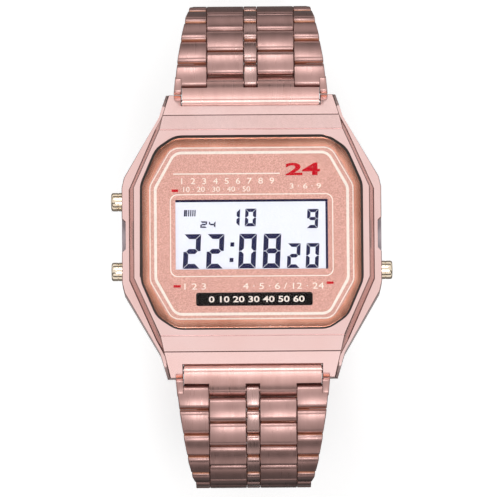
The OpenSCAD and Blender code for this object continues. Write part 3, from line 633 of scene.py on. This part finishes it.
link = {"Length": PITCH / 2, "Radius": LINK_RADIUS, "Edge": LINK_EDGE, "Crown": CROWN}
narrowing = calc(row_group, "DIVIDE", calc(row_group, "SUBTRACT", into["Wide"], into["Narrow"]), PITCH)
outer = call_bar(row_group, {**link, "From": INNER_HALF + LINE_GAP, "To": into["Wide"],
                             "Narrowing": narrowing, "Reach": into["Outer Reach"]}, link_finish)
inner = call_bar(row_group, {**link, "From": CENTRE_HALF + LINE_GAP, "To": INNER_HALF,
                             "Length": into["Inner Length"], "Reach": into["Inner Reach"]},
                 link_finish, PITCH / 2)
centre = call_bar(row_group, {**link, "From": -CENTRE_HALF, "To": CENTRE_HALF,
                              "Reach": into["Inner Reach"]}, centre_finish)
ear = call_bar(row_group, {"From": EAR_FROM, "To": EAR_TO, "Length": into["Ear"], "Radius": EAR_RADIUS,
                           "Edge": EAR_EDGE, "Narrowing": EAR_NARROWING}, link_finish,
               calc(row_group, "MULTIPLY", into["Ear"], -1))


# Pins get the same painted copper reflection as the link ends.
def pin_of(half, shift_y):
    return call_bar(row_group, {"From": calc(row_group, "MULTIPLY", half, -1), "To": half, "Length": 0.0,
                                "Radius": PIN_RADIUS, "Edge": PIN_EDGE}, gap_reflection_paint, shift_y)


pin = pin_of(into["Pin Half"], PITCH / 2)
far_pin = pin_of(into["Far Pin Half"], PITCH)
side_links = joined(row_group, [outer, inner, chosen(row_group, into["Ear"], SMALLEST, ear)])
other_side = mirrored(row_group, side_links, (-1, 1, 1))
last_pin = chosen(row_group, into["Far Pin Half"], SMALLEST, far_pin)
placed(row_group, joined(row_group, [side_links, other_side, centre, pin, last_pin]), into, end)
print("bracelet_row", len(row_group.nodes), "nodes")

# %% Places of the rows
SPAN, FIRST_REACH, FIRST_SLOPE = 34.75, 2.8, -4.0
FIRST_WIDTH, LAST_WIDTH, FIRST_INSET = 20.0, 15.0, 0.13
slopes = [FIRST_SLOPE]
for bend, count in ((6, 1), (19.5, 4), (8.4, 5), (6, 4)):
    for _ in range(count):
        slopes.append(slopes[-1] + bend)
turned = math.radians(slopes[0])
bar_low, bar_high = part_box("lug_spring_bars")
bar_height = (bar_low.z + bar_high.z) / 2 / MM
pins = [None, (SPAN / 2 + FIRST_REACH * math.cos(turned), bar_height - FIRST_REACH * math.sin(turned))]
for slope in slopes[1:]:
    y, z = pins[-1]
    pins.append((y + PITCH * math.cos(math.radians(slope)), z - PITCH * math.sin(math.radians(slope))))
print(len(pins) - 1, "pins in each half")

# %% Rows on their pins
def row_width(row):
    return max(LAST_WIDTH, FIRST_WIDTH - (row - 1))


def set_inputs(piece, group, values):
    modifier = piece.modifiers.new("shape", "NODES")
    modifier.node_group = group
    names = {item.name: item.identifier for item in group.interface.items_tree if item.in_out == "INPUT"}
    for title, value in values.items():
        modifier[names[title]] = float(value)


def finish_chain_piece(piece, node, body):
    baked(piece)
    piece.data.transform(Matrix.Scale(MM, 4))
    smooth_by_angle(piece.data, LINK_DEGREES)
    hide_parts(node)
    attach(piece, body)


ROWS, LINK_DEGREES = 14, 50
for half in ("12", "6"):
    for row in range(1, ROWS + 1):
        name = f"row_{half}_{row:02d}"
        first_row, open_row = row == 1, half == "12" and row == ROWS
        piece = add_piece(f"links_{half}_{row:02d}", bpy.data.meshes.new(name), None)
        set_inputs(piece, row_group, {
            "Wide": row_width(row) / 2 - (FIRST_INSET if first_row else 0.0),
            "Narrow": row_width(row + 1) / 2,
            "Pin Half": row_width(row + 1) / 2 - PIN_INSET,
            "Far Pin Half": 0.0 if open_row else row_width(row + 2) / 2 - PIN_INSET,
            "Inner Length": 0.0 if open_row else PITCH / 2,
            "Slope": slopes[row], "Pin Y": pins[row][0], "Pin Z": pins[row][1],
            "Six": 1.0 if half == "6" else 0.0, "Ear": EAR_LENGTH if first_row else 0.0,
            "Outer Reach": 1.0 if open_row else OUTER_REACH,
            "Inner Reach": OPEN_REACH if open_row else END_REACH})
        finish_chain_piece(piece, name, name)

# %% [markdown]
# ### End links
# The end link fills the gap between the lugs. Its barrel turns on the spring bar under a wide hood, and
# its two tongues carry the first pin. It could be milled from a bar, so the CAD shape stays and only its
# edges are broken. The real hood is rolled and falls away from the dial. A parabola in the Bump node,
# which starts 16.6 mm from the middle, shades the flat hood as if it did.

# %% End links
# The hood's colour is painted light, a lighter copy of the link colour.
HOOD_START, HOOD_FALL = 16.6 * MM, 69.0
tree = lit_hood_paint.node_tree
brush_bump = node_of(tree, "BUMP")
along = split(tree, node_of(tree, "TEX_COORD").outputs["Object"])["Y"]
beyond = calc(tree, "SUBTRACT", calc(tree, "ABSOLUTE", along), HOOD_START)
fall = calc(tree, "MULTIPLY", calc(tree, "MULTIPLY", beyond, beyond), -HOOD_FALL)
rolled = add_node(tree, "ShaderNodeBump", {"Height": fall, "Strength": 1.0, "Distance": 1.0})
feed(tree, brush_bump.inputs["Normal"], rolled.outputs["Normal"])
for half in ("12", "6"):
    rounded_copy(f"end_link_{half}", f"hooded_link_{half}", 0.16, lit_hood_paint, segments=3)

# %% [markdown]
# ## Pushers
# A pusher is turned on a lathe: a stem, a cap with a rounded rim and a slightly domed face. Spinning the
# half outline round the stem's axis is the same movement as the lathe's. The outline is given as pairs
# of distance along the axis and radius.

# %% Pushers
PUSHER_STEPS, TURNED_DEGREES = 40, 35
RING_X, CAP_IN_X, GROOVE_X, CAP_OUT_X = 12.0, 15.7, 17.2, 18.2
STEM, RING, CAP = 0.6, 0.95, 1.2


def turned_piece(name, outline, centre, side, finish):
    work = bmesh.new()
    rings = []
    for along, radius in outline:
        ring = []
        for step in range(PUSHER_STEPS):
            angle = 2 * math.pi * step / PUSHER_STEPS
            y = centre.y + radius * MM * math.cos(angle)
            ring.append(work.verts.new((side * along * MM, y, centre.z + radius * MM * math.sin(angle))))
        rings.append(ring)
    for first, second in zip(rings, rings[1:]):
        for step in range(PUSHER_STEPS):
            after = (step + 1) % PUSHER_STEPS
            work.faces.new((first[step], first[after], second[after], second[step]))
    work.faces.new(list(reversed(rings[0])))
    work.faces.new(rings[-1])
    mesh = mesh_of(work, name)
    smooth_by_angle(mesh, TURNED_DEGREES)
    return add_piece(name, mesh, finish)


pusher_outline = [
    (RING_X - 0.2, STEM - 0.05), (RING_X - 0.15, STEM), (RING_X, STEM), (RING_X, RING), (RING_X + 0.3, RING),
    (RING_X + 0.3, STEM), (CAP_IN_X, STEM), (CAP_IN_X, CAP - 0.06), (CAP_IN_X + 0.06, CAP),
    (GROOVE_X, CAP), (GROOVE_X + 0.04, CAP - 0.05), (GROOVE_X + 0.1, CAP - 0.05), (GROOVE_X + 0.14, CAP),
    (CAP_OUT_X - 0.3, CAP), (CAP_OUT_X - 0.18, 1.17), (CAP_OUT_X - 0.08, 1.08), (CAP_OUT_X - 0.03, 0.94),
    (CAP_OUT_X - 0.02, 0.7), (CAP_OUT_X, 0.3)]
for node, side in (("light_pusher", -1), ("mode_pusher", -1), ("start_pusher", 1)):
    low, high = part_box(node)
    piece = turned_piece(f"turned_{node}", pusher_outline, (low + high) / 2, side, pusher_finish)
    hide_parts(node)
    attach(piece, node)
print("pushers turned from", len(pusher_outline), "rings")

# %% [markdown]
# ## Dial
# The face plate is a stamped sheet with a fine grain. Its border is a polished copper ring, and painted shade
# darkens it towards the case. A thin flat strip between two outlines carries it. The strip holds an attribute
# that grows from 0 at its inner outline to 1 at its outer one, and the painted shade grows with it. The
# outlines are octagons with round corners.

# %% Outlines of the dial
CORNER_STEPS = 6


def rounded_outline(corners, radius):
    points = []
    count = len(corners)
    for index, corner in enumerate(corners):
        before = (Vector(corners[index - 1]) - Vector(corner)).normalized()
        after = (Vector(corners[(index + 1) % count]) - Vector(corner)).normalized()
        half = before.angle(after) / 2
        reach = radius / math.tan(half)
        middle = Vector(corner) + (before + after).normalized() * (radius / math.sin(half))
        first, last = Vector(corner) + before * reach, Vector(corner) + after * reach
        start_angle = math.atan2(first.y - middle.y, first.x - middle.x)
        sweep_angle = math.atan2(last.y - middle.y, last.x - middle.x) - start_angle
        sweep_angle = (sweep_angle + math.pi) % (2 * math.pi) - math.pi
        for step in range(CORNER_STEPS + 1):
            angle = start_angle + sweep_angle * step / CORNER_STEPS
            points.append((middle.x + radius * math.cos(angle), middle.y + radius * math.sin(angle)))
    return points

def with_shoulders(quarter, radius):
    corners = quarter + [(-x, y) for x, y in reversed(quarter)]
    corners += [(-x, -y) for x, y in corners]
    return rounded_outline(corners, radius)


def strip_between(name, inner, outer, top, finish, thick=0.0):
    work = bmesh.new()
    levels = ((inner, top), (outer, top), (outer, top - thick), (inner, top - thick))[: 4 if thick else 2]
    rings = [[work.verts.new((x * MM, y * MM, z)) for x, y in points] for points, z in levels]
    pairs = list(zip(rings, rings[1:] + rings[:1])) if thick else [(rings[0], rings[1])]
    for first, second in pairs:
        for index in range(len(first)):
            after = (index + 1) % len(first)
            work.faces.new((first[index], first[after], second[after], second[index]))
    return add_piece(name, mesh_of(work, name), finish)


def on_case(piece):
    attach(piece, "case")


PRINT = 0.012 * MM


def prism(work, outline, base):
    low = [work.verts.new((x * MM, y * MM, base)) for x, y in outline]
    high = [work.verts.new((x * MM, y * MM, base + PRINT)) for x, y in outline]
    work.faces.new(high)
    work.faces.new(list(reversed(low)))
    for index in range(len(low)):
        after = (index + 1) % len(low)
        work.faces.new((low[index], low[after], high[after], high[index]))

# %% [markdown]
# ### Printed lines and marks
# The lines and marks are pad printed, so they are thin layers of ink on the plate. Each one is a thin
# closed shape that stands a hundredth of a millimetre on the plate. Words of the real face are left off,
# and plain numbers stand in their places.

# %% Lines, bars and dashes
# A corner between a straight side and a slanting one moves by this share of the line's width.
CORNER_SHARE = 0.41
# The border stands this little above the plate, and the dark colour is the painted shade it takes on towards
# the case.
RIM_LIFT, RIM_SHADE_COLOUR = 0.004 * MM, (0.10, 0.030, 0.018, 1)


def outline_pair(half_width, half_length, top_half, side_half, radius, width):
    pair = []
    for grow in (-width / 2, width / 2):
        cut = CORNER_SHARE * grow
        quarter = [(half_width + grow, side_half + cut), (top_half + cut, half_length + grow)]
        pair.append(with_shoulders(quarter, radius + grow))
    return pair


def printed_ring(name, inner, outer):
    on_case(strip_between(name, inner, outer, plate_top + PRINT, white_print, PRINT))


def box_outline(x0, y0, x1, y1, radius):
    return rounded_outline([(x1, y0), (x1, y1), (x0, y1), (x0, y0)], radius)


def print_and_shadow_shape(name, outline, finish, base):
    work = bmesh.new()
    prism(work, outline, base)
    on_case(add_piece(name, mesh_of(work, name), finish))


printed_ring("thick_line", *outline_pair(12.43, 10.5, 9.9, 5.95, 1.5, 0.36))
printed_ring("thin_line", *outline_pair(13.12, 11.12, 10.3, 6.2, 1.7, 0.13))
printed_ring("window_line", box_outline(-10.42, -5.53, 10.42, 4.99, 0.85),
             box_outline(-10.55, -5.66, 10.55, 5.12, 0.95))
print_and_shadow_shape("rule", box_outline(-10.09, 7.67, 3.69, 7.83, 0.05), white_print, plate_top)
print_and_shadow_shape("pill", box_outline(-7.24, -9.44, 7.81, -7.72, 0.3), black_print, plate_top)
dashes = ((-10.32, 5.41, -9.46, 5.75), (-10.15, -7.03, -9.2, -6.69), (9.61, -6.69, 10.52, -6.38))
for index, corners in enumerate(dashes):
    print_and_shadow_shape(f"dash_{index}", box_outline(*corners, 0.05), red_print, plate_top)
fade_inner = with_shoulders([(13.25, 6.3), (11.95, 8.85), (10.4, 11.25)], 1.8)
fade_outer = with_shoulders([(14.3, 6.35), (12.35, 10.85), (9.9, 12.55)], 2.9)
rim = strip_between("border_with_painted_shade", fade_inner, fade_outer, plate_top + RIM_LIFT, rim_finish)
# The attribute says how far the painted shade darkens the border, from none inside to full by the case.
border_shade = rim.data.attributes.new("border_shade", "FLOAT", "POINT")
for index in range(len(rim.data.vertices)):
    border_shade.data[index].value = 0.0 if index < len(fade_inner) else 1.0
tree = rim_finish.node_tree
reader = tree.nodes.new("ShaderNodeAttribute")
reader.attribute_name = "border_shade"
shaded_border = blend_colours(tree, reader.outputs["Fac"], node_of(tree, "GROUP").outputs["Colour"], RIM_SHADE_COLOUR)
feed(tree, tree.nodes["Principled BSDF"].inputs["Base Color"], shaded_border)
on_case(rim)
print("lines and dashes printed")

# %% Numbers
def printed_number(name, text, box, finish, base, weight):
    curve = bpy.data.curves.new(name, "FONT")
    curve.body = text
    curve.size = 1.0
    curve.offset = weight
    curve.extrude = 0.5
    curve.resolution_u = 3
    source = bpy.data.objects.new(name + "_source", curve)
    bpy.context.scene.collection.objects.link(source)
    graph = bpy.context.evaluated_depsgraph_get()
    graph.update()
    mesh = bpy.data.meshes.new_from_object(source.evaluated_get(graph))
    bpy.data.objects.remove(source)
    low = [min(v.co[i] for v in mesh.vertices) for i in range(3)]
    high = [max(v.co[i] for v in mesh.vertices) for i in range(3)]
    x0, y0, x1, y1 = box
    corner, sizes = (x0 * MM, y0 * MM, base), ((x1 - x0) * MM, (y1 - y0) * MM, PRINT)
    scale = [sizes[i] / (high[i] - low[i]) for i in range(3)]
    for vertex in mesh.vertices:
        vertex.co = [(vertex.co[i] - low[i]) * scale[i] + corner[i] for i in range(3)]
    work = bmesh.new()
    work.from_mesh(mesh)
    bmesh.ops.remove_doubles(work, verts=work.verts, dist=1e-7)
    bmesh.ops.recalc_face_normals(work, faces=work.faces)
    work.to_mesh(mesh)
    work.free()
    on_case(add_piece(name, mesh, finish))


# Name, number, box from its lower left to its upper right corner, ink, lift and weight of the strokes.
NUMBERS = [
    ("red_number", "24", (4.4, 7.48, 8.9, 9.12), red_print, 0.0, 0.03),
    ("upper_row", "1  2  3  4  5  6  7  8  9", (-9.07, 6.42, 2.95, 7.2), white_print, 0.0, 0.0),
    ("second_row", "10 · 20 · 30 · 40 · 50", (-8.81, 5.41, -0.16, 6.08), white_print, 0.0, 0.0),
    ("right_row", "3 · 6 · 9", (4.97, 5.74, 9.0, 6.42), white_print, 0.0, 0.0),
    ("left_label", "1 2 3", (-8.74, -7.3, -5.95, -6.5), white_print, 0.0, 0.0),
    ("right_label", "4 · 5 · 6 / 12 · 24", (-1.17, -7.3, 9.26, -6.5), white_print, 0.0, 0.0),
    ("pill_number", "0 10 20 30 40 50 60", (-5.6, -9.0, 6.76, -8.18), white_print, PRINT, 0.02),
]
for name, text, box, ink, lift, weight in NUMBERS:
    printed_number(name, text, box, ink, plate_top + lift, weight)
print(len(NUMBERS), "numbers printed")

# %% [markdown]
# ## Display
# A segment display is two sheets of glass with liquid between them, and the segments darken where they
# are switched on. Each digit is up to seven bars with mitred ends and small gaps. A table says which bars
# each digit uses, and a second one draws the display from six groups of digits.

# %% Segment digits
display_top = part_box("lcd_panel")[1].z
SEGMENTS = {"0": "abcdef", "1": "bc", "2": "abged", "3": "abgcd", "4": "fgbc", "5": "afgcd", "6": "afgedc",
            "7": "abc", "8": "abcdefg", "9": "abcdfg"}


# A bar is t thick with a gap g at its ends, w is the digit's width and m the height of its middle.
def segment_shapes(digit, w, height, t, g):
    m = height / 2
    shapes = {
        "a": [(g, height), (w - g, height), (w - g - t, height - t), (g + t, height - t)],
        "d": [(g + t, t), (w - g - t, t), (w - g, 0), (g, 0)],
        "f": [(0, height - g), (t, height - g - t), (t, m + g + t / 2), (t / 2, m + g), (0, m + g)],
        "e": [(0, g), (0, m - g), (t / 2, m - g), (t, m - g - t / 2), (t, g + t)],
        "b": [(w, height - g), (w, m + g), (w - t / 2, m + g), (w - t, m + g + t / 2),
              (w - t, height - g - t)],
        "c": [(w, g), (w - t, g + t), (w - t, m - g - t / 2), (w - t / 2, m - g), (w, m - g)],
        "g": [(g + t / 2, m), (g + t, m + t / 2), (w - g - t, m + t / 2), (w - g - t / 2, m),
              (w - g - t, m - t / 2), (g + t, m - t / 2)],
    }
    return [shapes[key] for key in SEGMENTS[digit]]


SLANT = 0.05


def shown(name, shapes, x, y):
    work = bmesh.new()
    for shape in shapes:
        prism(work, [(x + px + SLANT * py, y + py) for px, py in shape], display_top)
    on_case(add_piece(name, mesh_of(work, name), display_ink_and_shadow))


def rectangle(x0, y0, x1, y1):
    return [(x0, y0), (x1, y0), (x1, y1), (x0, y1)]


# %% What the display shows
# Name, digits, the x of each, y, width, height, thickness of the bars and the gap at their ends.
digit_rows = [
    ("hours", "22", (-8.95, -5.94), -4.55, 2.2, 4.5, 0.64, 0.04),
    ("minutes", "08", (-1.80, 1.35), -4.55, 2.25, 4.5, 0.64, 0.04),
    ("seconds", "20", (4.5, 6.92), -4.55, 1.66, 3.22, 0.48, 0.035),
    ("weekday", "10", (-3.0, -0.9), 0.92, 1.42, 2.3, 0.42, 0.03),
    ("day", "9", (7.1,), 0.62, 1.45, 2.5, 0.42, 0.03),
    ("hour_mode", "24", (-6.65, -5.55), 0.76, 0.86, 0.86, 0.2, 0.01),
]
for name, text, places, y, width, height, thick, gap in digit_rows:
    shapes = []
    for digit, x in zip(text, places):
        for shape in segment_shapes(digit, width, height, thick, gap):
            shapes.append([(px + x - places[0], py) for px, py in shape])
    shown(name, shapes, places[0], y)
shown("colon", [rectangle(0, 0, 0.5, 0.55), rectangle(0.02, 2.02, 0.52, 2.57)], -2.9, -3.72)
BAR_COUNT, BAR_STEP, BAR_WIDTH, FIRST_BAR, BAR_HEIGHT = 6, 0.27, 0.15, 0.24, 0.84
signal_bars = []
for i in range(BAR_COUNT):
    right = BAR_STEP * i + (FIRST_BAR if i == 0 else BAR_WIDTH)
    signal_bars.append(rectangle(BAR_STEP * i, 0, right, BAR_HEIGHT))
shown("signal_bars", signal_bars, -8.76, 2.27)
# The two dark strips along the top and right edges of the display are painted shadow of the window's edge.
shades = {"upper_shade": (-9.85, 4.12, 9.85, 4.45), "side_shade": (9.55, -4.75, 9.85, 4.11)}
for name, corners in shades.items():
    print_and_shadow_shape(name, rectangle(*corners), display_ink_and_shadow, display_top)
print("display shows", len(digit_rows), "groups of digits")

# %% [markdown]
# ## Floor and light
# A pale floor and soft lamps stand in for a white photo tent. A polished case shows what is round it, so
# the tent matters more than the lamps. In reflections it is bright round the horizon, has a dark band
# above that and is bright again overhead, and the dark band draws the dark lines of the rounded links.
# A dark flag on the six o'clock side shades the slopes that face it. The camera sees plain white, and
# the floor is left out of reflections, so that the links don't mirror it.

# %% Floor
FLOOR_HALF, FLOOR_TONE, FLOOR_ROUGHNESS, FLOOR_SPECULAR, FLOOR_GLOW = 4.0, 0.92, 0.8, 0.1, 0.45
WHITE = (1, 1, 1, 1)
work = bmesh.new()
bmesh.ops.create_grid(work, x_segments=1, y_segments=1, size=FLOOR_HALF)
mesh = bpy.data.meshes.new("tent_floor")
work.to_mesh(mesh)
work.free()
floor_finish = bpy.data.materials.new("paper_floor")
floor_finish.use_nodes = True
tree = floor_finish.node_tree
paper = tree.nodes["Principled BSDF"]
feed_all(tree, paper, {"Base Color": (FLOOR_TONE, FLOOR_TONE, FLOOR_TONE, 1), "Roughness": FLOOR_ROUGHNESS,
                       "Specular IOR Level": FLOOR_SPECULAR})
glow = add_node(tree, "ShaderNodeEmission", {"Color": WHITE, "Strength": FLOOR_GLOW})
both = add_node(tree, "ShaderNodeAddShader", {0: paper.outputs["BSDF"], 1: glow.outputs[0]})
seen = by_light_path(tree, "Is Camera Ray", paper, both)
feed(tree, tree.nodes["Material Output"].inputs["Surface"], seen.outputs[0])
floor = add_piece("tent_floor", mesh, floor_finish)
floor.visible_glossy = False
print(floor.name, "of", 2 * FLOOR_HALF, "m")

# %% Tent and lamps
world = bpy.data.worlds.new("photo_tent")
bpy.context.scene.world = world
world.use_nodes = True
tree = world.node_tree
tree.nodes.clear()
direction = split(tree, tree.nodes.new("ShaderNodeTexCoord").outputs["Generated"])
# Each pair is a height, or a place from six to twelve o'clock, and the tone that the tent has there.
HEIGHT_TONES = [(-1.0, 0.3), (-0.3, 0.2), (-0.18, 1.05), (0.17, 1.05), (0.24, 0.04), (0.46, 0.04),
                (0.53, 0.9), (0.79, 0.95), (0.88, 0.84), (1.0, 0.90)]
FLAG_TONES = [(-1.0, 1.0), (-0.5, 1.0), (-0.44, 0.1), (-0.22, 0.1), (-0.17, 1.0), (1.0, 1.0)]
WARMTH = (1, 0.97, 0.96)


def tone_ramp(source, points):
    share = add_node(tree, "ShaderNodeMapRange", {"Value": source, "From Min": -1.0})
    node = add_node(tree, "ShaderNodeValToRGB", {"Fac": share.outputs["Result"]})
    ramp = node.color_ramp
    while len(ramp.elements) < len(points):
        ramp.elements.new(0.5)
    for element, (position, _) in zip(ramp.elements, points):
        element.position = (position + 1) / 2
    for element, (_, tone) in zip(ramp.elements, points):
        element.color = (*(tone * part for part in WARMTH), 1)
    return node.outputs["Color"]


def backdrop(colour, strength):
    return add_node(tree, "ShaderNodeBackground", {"Color": colour, "Strength": strength})


by_height, by_flag = tone_ramp(direction["Z"], HEIGHT_TONES), tone_ramp(direction["Y"], FLAG_TONES)
tones = blend_colours(tree, 1.0, by_height, by_flag, "MULTIPLY")
lighting = by_light_path(tree, "Is Glossy Ray", backdrop(WHITE, 0.5), backdrop(tones, 1.0))
seen = by_light_path(tree, "Is Camera Ray", lighting, backdrop(WHITE, 1.0))
add_node(tree, "ShaderNodeOutputWorld", {"Surface": seen.outputs[0]})
LAMP_SIZE, LAMP_AIM = 0.26, Vector((0, 0, 0.03))


def add_lamp(name, place, power):
    data = bpy.data.lights.new(name, "AREA")
    data.size = LAMP_SIZE
    data.energy = power
    lamp = bpy.data.objects.new(name, data)
    bpy.context.scene.collection.objects.link(lamp)
    lamp.location = place
    lamp.rotation_mode = "QUATERNION"
    lamp.rotation_quaternion = (LAMP_AIM - Vector(place)).to_track_quat("-Z", "Y")


add_lamp("near_lamp", (0.03, -0.27, 0.83), 1.5)
add_lamp("far_lamp", (-0.03, 0.43, 0.75), 1.1)
print("two lamps and a tent")
